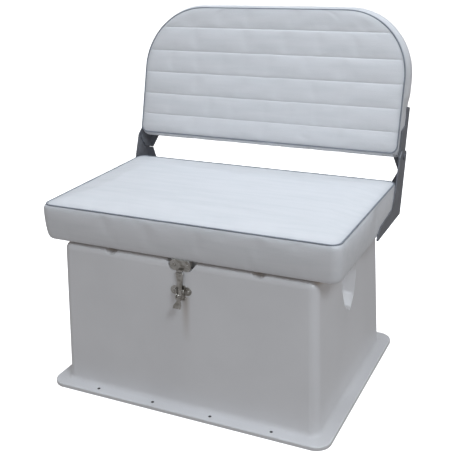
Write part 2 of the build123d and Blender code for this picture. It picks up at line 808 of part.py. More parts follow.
with BuildPart() as latch_lever:
    front = latch_pivot_out + lever_rise - lever_cheek / 2
    with BuildSketch(latch_side):
        with BuildLine() as handle:
            FilletPolyline(
                (-lever_start, front), (-lever_bend, front), (-lever_drop, front + lever_flare),
                radius=lever_bend_radius,
            )
        trace(line_width=lever_cheek)
    extrude(amount=lever_end_width, both=True)
    with BuildSketch(latch_plane) as blade:
        with BuildLine():
            right = [
                (lever_outer, 0), (lever_outer, -lever_start - 2), (lever_neck_width / 2, -lever_bend),
                (lever_end_width / 2, -lever_drop + 5), (lever_end_width / 2, -lever_drop - 5),
            ]
            Polyline(*right, *[(-x, y) for x, y in reversed(right)], close=True)
        make_face()
    extrude(amount=2 * (front + lever_flare), mode=Mode.INTERSECT)
    for inner in (lever_inner, -lever_outer):
        with BuildSketch(latch_side.offset(inner)):
            with Locations((latch_pivot_up, latch_pivot_out)):
                Circle(lever_rise)
            with Locations((link_pin_up, link_pin_out)):
                Circle(link_eye_radius)
            with Locations((-lever_start - 2, front)):
                Circle(lever_cheek / 2)
            make_hull()
        extrude(amount=lever_cheek)
    with BuildSketch(latch_side):
        with Locations((latch_pivot_up, latch_pivot_out)):
            Circle(latch_pivot_radius + latch_fit)
        with Locations((link_pin_up, link_pin_out)):
            Circle(latch_link_radius + latch_fit)
    extrude(amount=2 * lever_outer, both=True, mode=Mode.SUBTRACT)

with BuildPart() as latch_link_pin:
    with BuildSketch(latch_side):
        with Locations((link_pin_up, link_pin_out)):
            Circle(latch_link_radius)
    extrude(amount=lever_outer, both=True)

with BuildPart() as latch_link:
    with BuildSketch(latch_side):
        with Locations((link_pin_up, link_pin_out)):
            Rectangle(link_length, link_thickness, align=(Align.MIN, Align.CENTER))
    extrude(amount=link_bar_half_width, both=True)
    with BuildSketch(latch_plane):
        with BuildLine():
            right = [
                (link_half_width, link_pin_up), (link_half_width, link_pin_up + link_shank),
                (link_bar_half_width, link_pin_up + link_length - 2 * link_bar_radius),
                (link_bar_half_width, link_pin_up + link_length),
            ]
            Polyline(*right, *[(-x, y) for x, y in reversed(right)], close=True)
        make_face()
    extrude(amount=2 * latch_pivot_out, mode=Mode.INTERSECT)
    with BuildSketch(latch_side):
        with Locations((link_pin_up, link_pin_out)):
            Circle(link_eye_radius - latch_fit)
    extrude(amount=link_half_width, both=True)
    with BuildSketch(latch_side):
        with Locations((link_pin_up + link_length, link_pin_out)):
            Circle(link_bar_radius)
    extrude(amount=link_bar_half_width, both=True)
    with BuildSketch(latch_side):
        with Locations((link_pin_up, link_pin_out)):
            Circle(latch_link_radius + latch_fit)
    extrude(amount=2 * link_half_width, both=True, mode=Mode.SUBTRACT)

keeper_screw_z = lid_bottom - keeper_height / 2
keeper_places = [
    Location((s * keeper_screw_x, keeper_front, keeper_screw_z), (90, 0, 0)) for s in both_sides
]

with BuildPart() as keeper_block:
    with Locations((0, keeper_front, lid_bottom)):
        Box(
            2 * keeper_block_half_width, keeper_block_depth, keeper_block_height,
            align=(Align.CENTER, Align.MIN, Align.MAX),
        )
    chamfer(keeper_block.edges().filter_by(Axis.Y).group_by(Axis.Z)[0], keeper_block_chamfer)
    with Locations(*keeper_places):
        Hole(screw_radius + screw_clearance)

with BuildPart() as latch_keeper:
    with BuildSketch(Plane.XZ.offset(-keeper_front)):
        with Locations((0, lid_bottom - keeper_height / 2 - keeper_drop / 2)):
            RectangleRounded(2 * keeper_half_width, keeper_height - keeper_drop, keeper_corner_radius)
    extrude(amount=keeper_plate)
    lip_z = lid_bottom - keeper_height
    lip_y = keeper_front - keeper_lip_reach
    with BuildSketch(Plane.YZ):
        with BuildLine():
            Polyline(
                (keeper_front, lip_z), (lip_y, lip_z), (lip_y, lip_z + keeper_lip_turn),
                (lip_y + keeper_plate, lip_z + keeper_lip_turn), (lip_y + keeper_plate, lip_z + keeper_plate),
                (keeper_front, lip_z + keeper_plate), close=True,
            )
        make_face()
    extrude(amount=keeper_lip_half_width, both=True)
    with Locations(*keeper_places):
        Hole(screw_radius + screw_clearance)

with BuildPart() as keeper_screws:
    with Locations(*[place * Location((0, 0, keeper_plate)) for place in keeper_places]):
        add(pan_head(screw_radius, keeper_plate + 0.6 * keeper_block_depth))

pieces = {
    "box_shell": box_shell, "floor_panel": floor_panel, "lid_buffers": lid_buffers,
    "hinge_fixed_leaves": hinge_fixed_leaves, "hinge_moving_leaves": hinge_moving_leaves,
    "hinge_pins": hinge_pins, "hinge_box_screws": hinge_box_screws, "hinge_lid_screws": hinge_lid_screws,
    "seat_board": seat_board, "seat_cushion": seat_cushion, "seat_piping": seat_piping,
    "backrest_board": backrest_board, "backrest_cushion": backrest_cushion,
    "backrest_piping": backrest_piping, "backrest_back_panel": backrest_back_panel,
    "lower_bracket_left": lower_bracket_left, "lower_bracket_right": lower_bracket_right,
    "upper_bracket_left": upper_bracket_left, "upper_bracket_right": upper_bracket_right,
    "lower_bracket_screws": lower_bracket_screws, "upper_bracket_screws": upper_bracket_screws,
    "pivot_bolts": pivot_bolts, "pivot_washers": pivot_washers,
    "latch_base": latch_base, "latch_base_screws": latch_base_screws, "latch_rivets": latch_rivets,
    "latch_lever": latch_lever, "latch_link_pin": latch_link_pin, "latch_link": latch_link,
    "keeper_block": keeper_block, "latch_keeper": latch_keeper, "keeper_screws": keeper_screws,
}
os.makedirs("parts", exist_ok=True)
for name, piece in pieces.items():
    piece.part.label = name
    export_step(piece.part, f"parts/{name}.step")
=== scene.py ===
# %% [markdown]
# # A boat locker seat
# A moulded white box carries an upholstered lid, a backrest that folds forward on two dark
# brackets, and a small steel latch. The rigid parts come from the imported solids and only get
# finishes here. The cushions, their piping and their stitches are made here, because a solid can't
# show how vinyl pulls over foam. Lengths are in metres, and the sizes of patterns in finishes are in
# millimetres.

# %% Load the solids
import json
import math

import bpy
import numpy as np
from mathutils import Matrix, Vector, noise


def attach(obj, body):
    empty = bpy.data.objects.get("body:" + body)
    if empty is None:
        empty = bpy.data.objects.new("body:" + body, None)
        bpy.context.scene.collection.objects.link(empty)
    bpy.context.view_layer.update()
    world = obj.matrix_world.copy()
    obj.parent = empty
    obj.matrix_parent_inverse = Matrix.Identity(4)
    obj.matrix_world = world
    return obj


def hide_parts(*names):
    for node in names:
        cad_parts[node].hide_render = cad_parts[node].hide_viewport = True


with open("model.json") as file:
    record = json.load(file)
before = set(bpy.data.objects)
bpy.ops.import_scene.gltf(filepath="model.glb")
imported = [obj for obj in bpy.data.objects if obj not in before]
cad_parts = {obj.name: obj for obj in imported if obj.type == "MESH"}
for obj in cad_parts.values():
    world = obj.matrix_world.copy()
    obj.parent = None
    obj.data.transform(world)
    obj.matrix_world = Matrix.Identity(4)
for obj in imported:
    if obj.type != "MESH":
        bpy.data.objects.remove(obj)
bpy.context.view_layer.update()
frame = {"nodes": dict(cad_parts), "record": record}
nodes = frame["nodes"]
record = frame["record"]

# %% [markdown]
# ## Camera
# The photograph looks down on the seat from its right front corner. The focal length, place and
# slight roll were fitted to the straight edges of the box and cushions, and they are written as
# plain numbers: a camera is easier to trust when it can be read than when it is dragged into place.

# %% Camera
IMAGE_SIDE = 458  # pixels
FOCAL_LENGTH = 800.94  # pixels
OPTICAL_CENTRE = (226.56, 226.74)  # pixels from the top left corner
SENSOR = 36.0  # millimetres
CAMERA_PLACE = Vector((0.7115, -1.4283, 0.9321))
CAMERA_TURN = -0.459  # radians, towards the left of the view
CAMERA_DIP = 0.364
CAMERA_ROLL = -0.034


def put_in_scene(name, data):
    """Object that shows this data, linked into the scene."""
    made = bpy.data.objects.new(name, data)
    bpy.context.scene.collection.objects.link(made)
    return made


forward = Vector((
    math.sin(CAMERA_TURN) * math.cos(CAMERA_DIP),
    math.cos(CAMERA_TURN) * math.cos(CAMERA_DIP),
    -math.sin(CAMERA_DIP),
))
level = Vector((math.cos(CAMERA_TURN), -math.sin(CAMERA_TURN), 0))
upright = level.cross(forward)
right = math.cos(CAMERA_ROLL) * level + math.sin(CAMERA_ROLL) * upright
up = math.cos(CAMERA_ROLL) * upright - math.sin(CAMERA_ROLL) * level

lens = bpy.data.cameras.new("photo_camera")
lens.sensor_width = SENSOR
lens.lens = FOCAL_LENGTH / IMAGE_SIDE * SENSOR
lens.shift_x = (IMAGE_SIDE / 2 - OPTICAL_CENTRE[0]) / IMAGE_SIDE
lens.shift_y = (OPTICAL_CENTRE[1] - IMAGE_SIDE / 2) / IMAGE_SIDE
camera = put_in_scene("photo_camera", lens)
facing = Matrix((right, up, -forward)).transposed().to_4x4()
camera.matrix_world = Matrix.Translation(CAMERA_PLACE) @ facing
bpy.context.scene.camera = camera
print("lens:", round(lens.lens, 2), "mm")

# %% [markdown]
# ## Lamps
# The photograph is lit from two sides. A wide soft light overhead makes the tops far brighter than
# the walls. A smaller cool light stands high at the right front: it throws a clear shadow beside
# the box's corner under the lid and lights the tip of the hand scoop, so that lamp has to be small.

# %% Lamps
LAMP_AIM = Vector((0, 0, 0.35))  # the middle of the seat


def soft_lamp(name, place, side, watts, colour):
    """Square lamp that points from its place to the middle of the seat."""
    data = bpy.data.lights.new(name, "AREA")
    data.shape = "SQUARE"
    data.size = side
    data.energy = watts
    data.color = colour
    lamp = put_in_scene(name, data)
    lamp.location = place
    lamp.rotation_euler = (LAMP_AIM - Vector(place)).to_track_quat("-Z", "Y").to_euler()


soft_lamp("overhead_lamp", place=(0.1, 0.1, 3.4), side=1.4, watts=49, colour=(0.84, 0.92, 1.0))
soft_lamp("right_lamp", place=(1.9, -1.45, 2.5), side=0.8, watts=27, colour=(0.86, 0.93, 1.0))

# %% [markdown]
# ## Light of the room
# The walls get little more than the even light of the room, which keeps them grey. More lamps could
# give it, but a world background comes from every side at once and throws no hard shadow. The
# plain colour transform keeps the whites white.

# %% Light of the room
sky = bpy.data.worlds.new("soft_sky")
bpy.context.scene.world = sky
sky.use_nodes = True
sky_light = sky.node_tree.nodes["Background"]
sky_light.inputs["Color"].default_value = (1.0, 0.985, 0.99, 1.0)
sky_light.inputs["Strength"].default_value = 0.29
bpy.context.scene.view_settings.view_transform = "Standard"
print("world:", sky.name)

# %% [markdown]
# ## Helpers for finishes
# Every finish is built from nodes, so a few small helpers are shared. One turns an sRGB hex colour
# to the linear values that shaders need, one adds a node with its settings and links, one starts a
# material, and one turns a real size to the scale of a texture.

# %% Helpers for finishes
def linear(hex_colour):
    """Linear RGBA of an sRGB colour such as #E8EAEC."""
    shares = [int(hex_colour[i:i + 2], 16) / 255 for i in (1, 3, 5)]
    return (*[s / 12.92 if s <= 0.04045 else ((s + 0.055) / 1.055) ** 2.4 for s in shares], 1.0)


def fill_sockets(tree, target, inputs):
    """Link each socket to the output that is given for it, or set it to the value."""
    for name, value in inputs.items():
        if isinstance(value, bpy.types.NodeSocket):
            tree.links.new(value, target.inputs[name])
        else:
            target.inputs[name].default_value = value


def add_node(tree, kind, settings=None, inputs=None, ramp=None):
    """Add a shader node with its properties, its sockets and the stops of a colour ramp."""
    made = tree.nodes.new("ShaderNode" + kind)
    for name, value in (settings or {}).items():
        setattr(made, name, value)
    fill_sockets(tree, made, inputs or {})
    for stop, (position, hex_colour) in enumerate(ramp or []):
        made.color_ramp.elements[stop].position = position
        made.color_ramp.elements[stop].color = linear(hex_colour)
    return made


def new_finish(name):
    """Material with an empty Principled surface: the material, its tree, its surface and its place."""
    material = bpy.data.materials.new(name)
    material.use_nodes = True
    tree = material.node_tree
    tree.nodes.clear()
    surface = add_node(tree, "BsdfPrincipled")
    add_node(tree, "OutputMaterial", inputs={"Surface": surface.outputs["BSDF"]})
    place = add_node(tree, "TexCoord").outputs["Object"]
    return material, tree, surface, place


def per_metre(size):
    """Texture scale that gives a pattern this size in millimetres."""
    return 1000 / size


print("middle grey in linear light:", round(linear("#808080")[0], 3))

# %% [markdown]
# ## Gelcoat on glass fibre
# The box is glass fibre laid up in a mould, with a white gelcoat skin. One flat white would look
# like paper: weather leaves real gelcoat slightly chalky in clouds. A slow noise drives both colour
# and roughness, so the paler clouds are also the duller ones.

# %% Gelcoat on glass fibre
CHALK_CLOUD = 170  # millimetres
gelcoat, tree, surface, place = new_finish("white_gelcoat")
chalk = add_node(tree, "TexNoise", inputs={"Vector": place, "Scale": per_metre(CHALK_CLOUD), "Detail": 4})
tint = add_node(tree, "ValToRGB", inputs={"Fac": chalk.outputs["Fac"]},
                ramp=[(0.35, "#E9E9EB"), (0.65, "#EFEFF1")])
gloss = add_node(tree, "MapRange", inputs={"Value": chalk.outputs["Fac"], "To Min": 0.24, "To Max": 0.42})
fill_sockets(tree, surface, {
    "Roughness": gloss.outputs["Result"], "IOR": 1.55, "Coat Weight": 0.2, "Coat Roughness": 0.2})
print("finish:", gelcoat.name)

# %% [markdown]
# The skin is glossy but never optically flat. It has a fine orange peel, and the glass mat behind it
# prints through as slow waves. Both are too shallow to be worth modelling, so one bump lies on top
# of another. Real peel is finer, and is drawn this coarse so that it shows.

# %% Waves and orange peel
MAT_WAVE = 55  # millimetres
ORANGE_PEEL = 5
wave = add_node(tree, "TexNoise", inputs={"Vector": place, "Scale": per_metre(MAT_WAVE), "Detail": 2})
peel = add_node(tree, "TexNoise", inputs={"Vector": place, "Scale": per_metre(ORANGE_PEEL), "Detail": 1})
slow_bump = add_node(tree, "Bump", inputs={
    "Height": wave.outputs["Fac"], "Strength": 0.25, "Distance": 0.002})
fine_bump = add_node(tree, "Bump", inputs={
    "Height": peel.outputs["Fac"], "Strength": 0.15, "Distance": 0.0003,
    "Normal": slow_bump.outputs["Normal"]})
fill_sockets(tree, surface, {"Normal": fine_bump.outputs["Normal"]})
print("bumps:", MAT_WAVE, "and", ORANGE_PEEL, "mm")

# %% [markdown]
# Below the latch the front wall has a faint darker, browner streak. It could be painted on a
# picture, but a finish knows where each of its points lies. So the streak is a soft upright band
# that is darkest at its top and fades downwards, kept to the front wall.

# %% Streak below the latch
STREAK_PLACE = 0.009  # to the right of the latch
STREAK_HALF = 0.013  # half of its width
STREAK_LOW, STREAK_TOP = 0.15, 0.25
FRONT_WALL = -0.18  # a plane just behind the front wall
spot = add_node(tree, "SeparateXYZ", inputs={"Vector": place}).outputs
aside = add_node(tree, "Math", {"operation": "SUBTRACT"}, {0: spot["X"], 1: STREAK_PLACE})
aside = add_node(tree, "Math", {"operation": "ABSOLUTE"}, {0: aside.outputs["Value"]})
across = add_node(tree, "MapRange", {"interpolation_type": "SMOOTHSTEP"}, {
    "Value": aside.outputs["Value"], "From Max": STREAK_HALF, "To Min": 1.0, "To Max": 0.0})
down = add_node(tree, "MapRange", inputs={
    "Value": spot["Z"], "From Min": STREAK_LOW, "From Max": STREAK_TOP})
below = add_node(tree, "Math", {"operation": "LESS_THAN"}, {0: spot["Z"], 1: STREAK_TOP})
in_front = add_node(tree, "Math", {"operation": "LESS_THAN"}, {0: spot["Y"], 1: FRONT_WALL})
streak = across.outputs["Result"]
for share in (down.outputs["Result"], below.outputs["Value"], in_front.outputs["Value"]):
    streak = add_node(tree, "Math", {"operation": "MULTIPLY"}, {0: streak, 1: share}).outputs["Value"]
streak_tinted = add_node(tree, "Mix", {"data_type": "RGBA"}, {
    "Factor": streak, "A": tint.outputs["Color"], "B": linear("#C8C1BB")})
print("streak:", round(1000 * (STREAK_TOP - STREAK_LOW)), "mm long")

# %% [markdown]
# The flange's screw holes are painted dark grey, a painted shade for the shadow deep in them. The
# holes mirror each other left to right and front to back, so the finish folds the four quarters of
# the flange onto one and looks for the holes there. Their places come from the mounts in the part's record.

# %% Painted shade in the screw holes
HOLE_SHADE_RADIUS = 0.0034  # a little wider than a hole
patterns = [mount["dims"] for mount in record["mounts"] if mount["kind"] == "bolt_pattern"]
screw_holes = [(dims["spacing_x_mm"] / 2 / 1000, dims["spacing_y_mm"] / 2 / 1000, 0) for dims in patterns]
mirrored = add_node(tree, "VectorMath", {"operation": "ABSOLUTE"}, {0: place})
flattened = add_node(tree, "VectorMath", {"operation": "MULTIPLY"}, {
    0: mirrored.outputs["Vector"], 1: (1, 1, 0)})
skin = streak_tinted
# Painted shade: each screw hole and a thin ring round it are mixed to dark grey.
for hole in screw_holes:
    away = add_node(tree, "VectorMath", {"operation": "DISTANCE"}, {0: flattened.outputs["Vector"], 1: hole})
    inside = add_node(tree, "Math", {"operation": "LESS_THAN"}, {0: away.outputs["Value"], 1: HOLE_SHADE_RADIUS})
    skin = add_node(tree, "Mix", {"data_type": "RGBA"}, {
        "Factor": inside.outputs["Value"], "A": skin.outputs["Result"], "B": linear("#626160")})
fill_sockets(tree, surface, {"Base Color": skin.outputs["Result"]})
print("screw holes in one quarter:", [tuple(round(side, 4) for side in hole[:2]) for hole in screw_holes])

# %% [markdown]
# ## Marine vinyl
# The cushions wear a coated vinyl: a knit cloth under a white skin that is embossed with a fine
# leather grain. Real grain is about a millimetre, too fine for this picture, so it is drawn at twice
# that. Wiping and sitting leave faint streaks across the seat. A seam collects grime, so each sewn
# piece stores how near a seam its points are, and the finish greys there. The piping wears the same
# vinyl in grey, so one function makes both.

# %% Marine vinyl
VINYL_GRAIN = 2.0  # millimetres
VINYL_CREASE = 8.0
VINYL_STREAK = 14
STREAK_DRAW = (0.12, 1.0, 1.0)  # about eight times as long across the seat as wide


def vinyl_finish(name, clean, worn, grimy):
    """Embossed vinyl in a clean and a worn shade, greyer by its seams."""
    material, tree, surface, place = new_finish(name)
    drawn_out = add_node(tree, "Mapping", inputs={"Vector": place, "Scale": STREAK_DRAW})
    streaks = add_node(tree, "TexNoise", inputs={
        "Vector": drawn_out.outputs["Vector"], "Scale": per_metre(VINYL_STREAK), "Detail": 5})
    tint = add_node(tree, "ValToRGB", inputs={"Fac": streaks.outputs["Fac"]},
                    ramp=[(0.3, worn), (0.6, clean)])
    seam = add_node(tree, "Attribute", {"attribute_name": "seam"})
    colour = add_node(tree, "Mix", {"data_type": "RGBA"}, {
        "Factor": seam.outputs["Fac"], "A": tint.outputs["Color"], "B": linear(grimy)})
    grain = add_node(tree, "TexVoronoi", {"feature": "SMOOTH_F1"}, {
        "Vector": place, "Scale": per_metre(VINYL_GRAIN), "Smoothness": 0.6})
    creases = add_node(tree, "TexNoise", inputs={
        "Vector": place, "Scale": per_metre(VINYL_CREASE), "Detail": 3, "Distortion": 0.6})
    grain_bump = add_node(tree, "Bump", inputs={
        "Height": grain.outputs["Distance"], "Strength": 0.22, "Distance": 0.0006})
    crease_bump = add_node(tree, "Bump", inputs={
        "Height": creases.outputs["Fac"], "Strength": 0.15, "Distance": 0.0008,
        "Normal": grain_bump.outputs["Normal"]})
    gloss = add_node(tree, "MapRange", inputs={
        "Value": creases.outputs["Fac"], "To Min": 0.36, "To Max": 0.56})
    fill_sockets(tree, surface, {
        "Base Color": colour.outputs["Result"], "Roughness": gloss.outputs["Result"],
        "Normal": crease_bump.outputs["Normal"], "IOR": 1.5})
    return material


white_vinyl = vinyl_finish("white_marine_vinyl", clean="#EAEBEE", worn="#E4E6E9", grimy="#C9CBD0")
grey_vinyl = vinyl_finish("grey_piping_vinyl", clean="#8E949D", worn="#80868F", grimy="#737982")
print("finishes:", white_vinyl.name, grey_vinyl.name)

# %% [markdown]
# ## Powder coat
# The brackets are pressed steel under a dark powder coat. The powder melts and flows into a fine
# pebble, which breaks up its highlights, and handling leaves paler, duller scuffs. The pebble is a
# bump, because it is too small to model, and one noise gives the scuffs their colour and gloss.

# %% Powder coat
PEBBLE = 1.6  # millimetres
SCUFF = 22
powder_coat, tree, surface, place = new_finish("dark_powder_coat")
pebble = add_node(tree, "TexNoise", inputs={"Vector": place, "Scale": per_metre(PEBBLE), "Detail": 1})
scuff = add_node(tree, "TexNoise", inputs={"Vector": place, "Scale": per_metre(SCUFF), "Detail": 6})
tint = add_node(tree, "ValToRGB", inputs={"Fac": scuff.outputs["Fac"]},
                ramp=[(0.4, "#6A6C72"), (0.75, "#7C7E85")])
gloss = add_node(tree, "MapRange", inputs={"Value": scuff.outputs["Fac"], "To Min": 0.34, "To Max": 0.52})
pebble_bump = add_node(tree, "Bump", inputs={
    "Height": pebble.outputs["Fac"], "Strength": 0.2, "Distance": 0.0003})
fill_sockets(tree, surface, {
    "Base Color": tint.outputs["Color"], "Roughness": gloss.outputs["Result"],
    "Normal": pebble_bump.outputs["Normal"]})
print("finish:", powder_coat.name)

# %% [markdown]
# ## Stainless steel
# The latch, hinges and screws are stainless steel, polished along the sheet and then dulled by salt,
# so bright metal shows between browner, rougher bloom. An anisotropic shader could stand for the
# polish, but a bump drawn out along it also breaks up the reflections. Real polish lines are far
# finer, and are drawn this coarse so that they show.

# %% Stainless steel
POLISH_LINE = 0.9  # millimetres
POLISH_DRAW = (0.08, 1.0, 1.0)  # about twelve times as long as wide
SALT_BLOOM = 9
stainless, tree, surface, place = new_finish("dulled_stainless_steel")
drawn_out = add_node(tree, "Mapping", inputs={"Vector": place, "Scale": POLISH_DRAW})
lines = add_node(tree, "TexNoise", inputs={
    "Vector": drawn_out.outputs["Vector"], "Scale": per_metre(POLISH_LINE)})
bloom = add_node(tree, "TexNoise", inputs={"Vector": place, "Scale": per_metre(SALT_BLOOM), "Detail": 5})
tint = add_node(tree, "ValToRGB", inputs={"Fac": bloom.outputs["Fac"]},
                ramp=[(0.35, "#A7A39C"), (0.6, "#D2D0CC")])
gloss = add_node(tree, "MapRange", inputs={"Value": bloom.outputs["Fac"], "To Min": 0.4, "To Max": 0.2})
line_bump = add_node(tree, "Bump", inputs={
    "Height": lines.outputs["Fac"], "Strength": 0.1, "Distance": 0.0002})
fill_sockets(tree, surface, {
    "Base Color": tint.outputs["Color"], "Roughness": gloss.outputs["Result"],
    "Normal": line_bump.outputs["Normal"], "Metallic": 1.0})
print("finish:", stainless.name)

# %% [markdown]
# ## Plywood
# The boards under the cushions are plywood, sealed against damp. Its face is peeled from the log in
# one long sheet, so the grain runs in long warm brown lines. A noise drawn out along the board gives
# both the lines and the slight relief that the sealer leaves over them.

# %% Plywood
GRAIN_WIDTH = 4.0  # millimetres
GRAIN_DRAW = (0.06, 1.0, 1.0)  # about sixteen times as long as wide
plywood, tree, surface, place = new_finish("sealed_plywood")
drawn_out = add_node(tree, "Mapping", inputs={"Vector": place, "Scale": GRAIN_DRAW})
grain = add_node(tree, "TexNoise", inputs={
    "Vector": drawn_out.outputs["Vector"], "Scale": per_metre(GRAIN_WIDTH), "Detail": 6, "Distortion": 0.4})
tint = add_node(tree, "ValToRGB", inputs={"Fac": grain.outputs["Fac"]},
                ramp=[(0.3, "#9C7B52"), (0.7, "#C6A57A")])
grain_bump = add_node(tree, "Bump", inputs={
    "Height": grain.outputs["Fac"], "Strength": 0.2, "Distance": 0.0004})
fill_sockets(tree, surface, {
    "Base Color": tint.outputs["Color"], "Normal": grain_bump.outputs["Normal"], "Roughness": 0.5})
print("finish:", plywood.name)

# %% [markdown]
# ## Nylon and rubber
# The keeper's packing block and the pivot washers are moulded nylon, milky and half dull. The lid's
# buffers are moulded rubber, nearly black and matt. Neither has a pattern of its own, so faint
# specks in colour and height are enough to keep them from looking like flat paint.

# %% Nylon and rubber
def specked_finish(name, pale, dark, roughness, speck):
    """Plain finish with faint specks, their size in millimetres."""
    material, tree, surface, place = new_finish(name)
    specks = add_node(tree, "TexNoise", inputs={"Vector": place, "Scale": per_metre(speck), "Detail": 4})
    tint = add_node(tree, "ValToRGB", inputs={"Fac": specks.outputs["Fac"]}, ramp=[(0.0, dark), (1.0, pale)])
    bump = add_node(tree, "Bump", inputs={
        "Height": specks.outputs["Fac"], "Strength": 0.15, "Distance": 0.0003})
    fill_sockets(tree, surface, {
        "Base Color": tint.outputs["Color"], "Normal": bump.outputs["Normal"], "Roughness": roughness})
    return material


nylon = specked_finish("white_nylon", pale="#E2E2DE", dark="#CFCFCA", roughness=0.45, speck=3)
rubber = specked_finish("black_rubber", pale="#26262A", dark="#161618", roughness=0.7, speck=2)
print("finishes:", nylon.name, rubber.name)

# %% [markdown]
# ## Floor
# The photograph's ground is cut out to pure white, with no shadow on it. A wide sheet that glows
# white stands for it. It is hidden from diffuse and glossy light, so it doesn't brighten the walls
# from below.

# %% Floor
FLOOR_REACH = 25.0  # each way
FLOOR_DROP = 0.0003  # below the flange, so that the two never share a plane
studio_floor = specked_finish("pale_studio_floor", pale="#FAFAFA", dark="#F4F4F4", roughness=0.9, speck=400)
fill_sockets(studio_floor.node_tree, studio_floor.node_tree.nodes["Principled BSDF"], {
    "Emission Color": linear("#FFFFFF"), "Emission Strength": 1.0})


def level_sheet(name, half_x, half_y, drop, finish):
    """Level rectangle about the middle of the seat, a little below the flange."""
    mesh = bpy.data.meshes.new(name)
    mesh.from_pydata(
        [(-half_x, -half_y, 0), (half_x, -half_y, 0), (half_x, half_y, 0), (-half_x, half_y, 0)],
        [], [(0, 1, 2, 3)])
    mesh.materials.append(finish)
    sheet = put_in_scene(name, mesh)
    sheet.location.z = -drop
    return sheet


floor = level_sheet("floor", FLOOR_REACH, FLOOR_REACH, FLOOR_DROP, studio_floor)
floor.visible_diffuse = False
floor.visible_glossy = False
print("floor:", 2 * FLOOR_REACH, "m square")

# %% [markdown]
# On a real boat the deck under the flange lies in shade and shows dark through the screw holes. A
# glowing floor would shine through them instead, so a dark patch lies between the two.

# %% Shaded deck
DECK_HALF_X, DECK_HALF_Y = 0.306, 0.233  # just inside the edge of the flange
DECK_DROP = 0.0001
# The patch is a dark sheet of painted shade, seen through the screw holes.
deck = level_sheet("shaded_deck", DECK_HALF_X, DECK_HALF_Y, DECK_DROP, rubber)
print("shaded deck:", 2 * DECK_HALF_X, "by", 2 * DECK_HALF_Y, "m")

# %% [markdown]
# From low down the floor ends in a horizon, which a far white ring hides. A white world would do that
# too, but it would also light the seat. The ring throws no shadow and is hidden from diffuse and
# glossy light, so it changes nothing but the view.

# %% Backdrop
BACKDROP_RADIUS = 24.0
BACKDROP_LOW, BACKDROP_HIGH = -0.01, 14.0
BACKDROP_SIDES = 64
around = [2 * math.pi * step / BACKDROP_SIDES for step in range(BACKDROP_SIDES)]
circle = [(BACKDROP_RADIUS * math.cos(angle), BACKDROP_RADIUS * math.sin(angle)) for angle in around]
next_sides = [(step + 1) % BACKDROP_SIDES for step in range(BACKDROP_SIDES)]
backdrop_mesh = bpy.data.meshes.new("white_backdrop")
backdrop_mesh.from_pydata(
    [(x, y, z) for z in (BACKDROP_LOW, BACKDROP_HIGH) for x, y in circle], [],
    [(step, after, BACKDROP_SIDES + after, BACKDROP_SIDES + step) for step, after in enumerate(next_sides)])
backdrop_mesh.materials.append(studio_floor)
backdrop = put_in_scene("white_backdrop", backdrop_mesh)
backdrop.visible_diffuse = False
backdrop.visible_glossy = False
backdrop.visible_shadow = False
print("backdrop:", BACKDROP_SIDES, "sides")

# %% [markdown]
# ## Finishes on the solids
# Each rigid node keeps its solid and takes the finish of its slot. Real edges are never knife sharp,
# so a narrow bevel modifier catches the light on metal, wood and moulded edges. The solids come with
# their faces apart, so a weld joins them first.

# %% Finishes on the solids
FINISHES = {
    "gelcoat": gelcoat, "plywood": plywood, "vinyl": white_vinyl, "piping": grey_vinyl,
    "bracket_paint": powder_coat, "stainless": stainless, "nylon": nylon, "rubber": rubber,
}
EDGE_WIDTHS = {"bracket_paint": 0.0005, "stainless": 0.00025, "plywood": 0.0008, "gelcoat": 0.0008}
SHARP_ANGLE = 40  # degrees
SHARP_ANGLES = {"gelcoat": 18}  # low enough to ease the shallow rim of the hand scoops
WELD_REACH = 0.00001

for part in record["subparts"]:
    slot_name = part["material_slot"]
    solid = nodes[part["node"]]
    solid.data.materials.clear()
    solid.data.materials.append(FINISHES[slot_name])
    if slot_name in EDGE_WIDTHS:
        solid.modifiers.new("joined_faces", "WELD").merge_threshold = WELD_REACH
        edges = solid.modifiers.new("eased_edges", "BEVEL")
        edges.width = EDGE_WIDTHS[slot_name]
        edges.segments = 2
        edges.limit_method = "ANGLE"
        edges.angle_limit = math.radians(SHARP_ANGLES.get(slot_name, SHARP_ANGLE))
        edges.harden_normals = True
print("finished solids:", len(record["subparts"]))

# %% [markdown]
# ## Sewn pads
# Each cushion is foam in a sewn cover: a top panel, a strip of boxing round the side, and piping in
# the seam between them. A voxel remesh would round those seams away, so the cover is laid out as a
# grid that has a row on every seam. Rows run across the pad, and each is as wide as the outline is
# there, so one layout serves both the seat and the round-cornered backrest.

# %% Layout of a sewn pad
def corner_steps(radius, count):
    """Distances in from the end of an outline that step evenly round its corner."""
    return radius * (1 - np.cos(np.linspace(0, np.pi / 2, count, endpoint=False)))


def eased(low, high, count):
    """Places from low to just before high, closer together at both ends."""
    return low + (high - low) * (1 - np.cos(np.pi * np.arange(count) / count)) / 2


def half_widths(rows, half, low_radius, high_radius):
    """Half width of an outline with round corners at each row, from its lowest to its highest."""
    past_low = np.clip(rows[0] + low_radius - rows, 0, low_radius)
    past_high = np.clip(rows - rows[-1] + high_radius, 0, high_radius)
    cut_low = low_radius - np.sqrt(low_radius**2 - past_low**2)
    cut_high = high_radius - np.sqrt(high_radius**2 - past_high**2)
    return half - cut_low - cut_high


def pad_plan(rows, widths, columns):
    """Grid of flat points, closer together by the side seams."""
    across = np.linspace(-1, 1, columns)
    across = 0.5 * across + 0.5 * np.sin(across * np.pi / 2)
    x = widths[:, None] * across[None, :]
    y = np.repeat(rows[:, None], columns, axis=1)
    return np.stack([x, y], axis=-1)


print("four eased places along a metre:", eased(0, 1, 4).round(2).tolist())

# %% [markdown]
# The boxing follows the edge of that grid at other heights, a little further out or in. Under the
# cushion it turns in to a hem on the board, and a second grid closes the pad over the board. That is
# better than one many-sided face, which is slow to subdivide.

# %% Edge, boxing and board of a sewn pad
SEAM_REACH = 0.004  # how far from a seam the grime fades


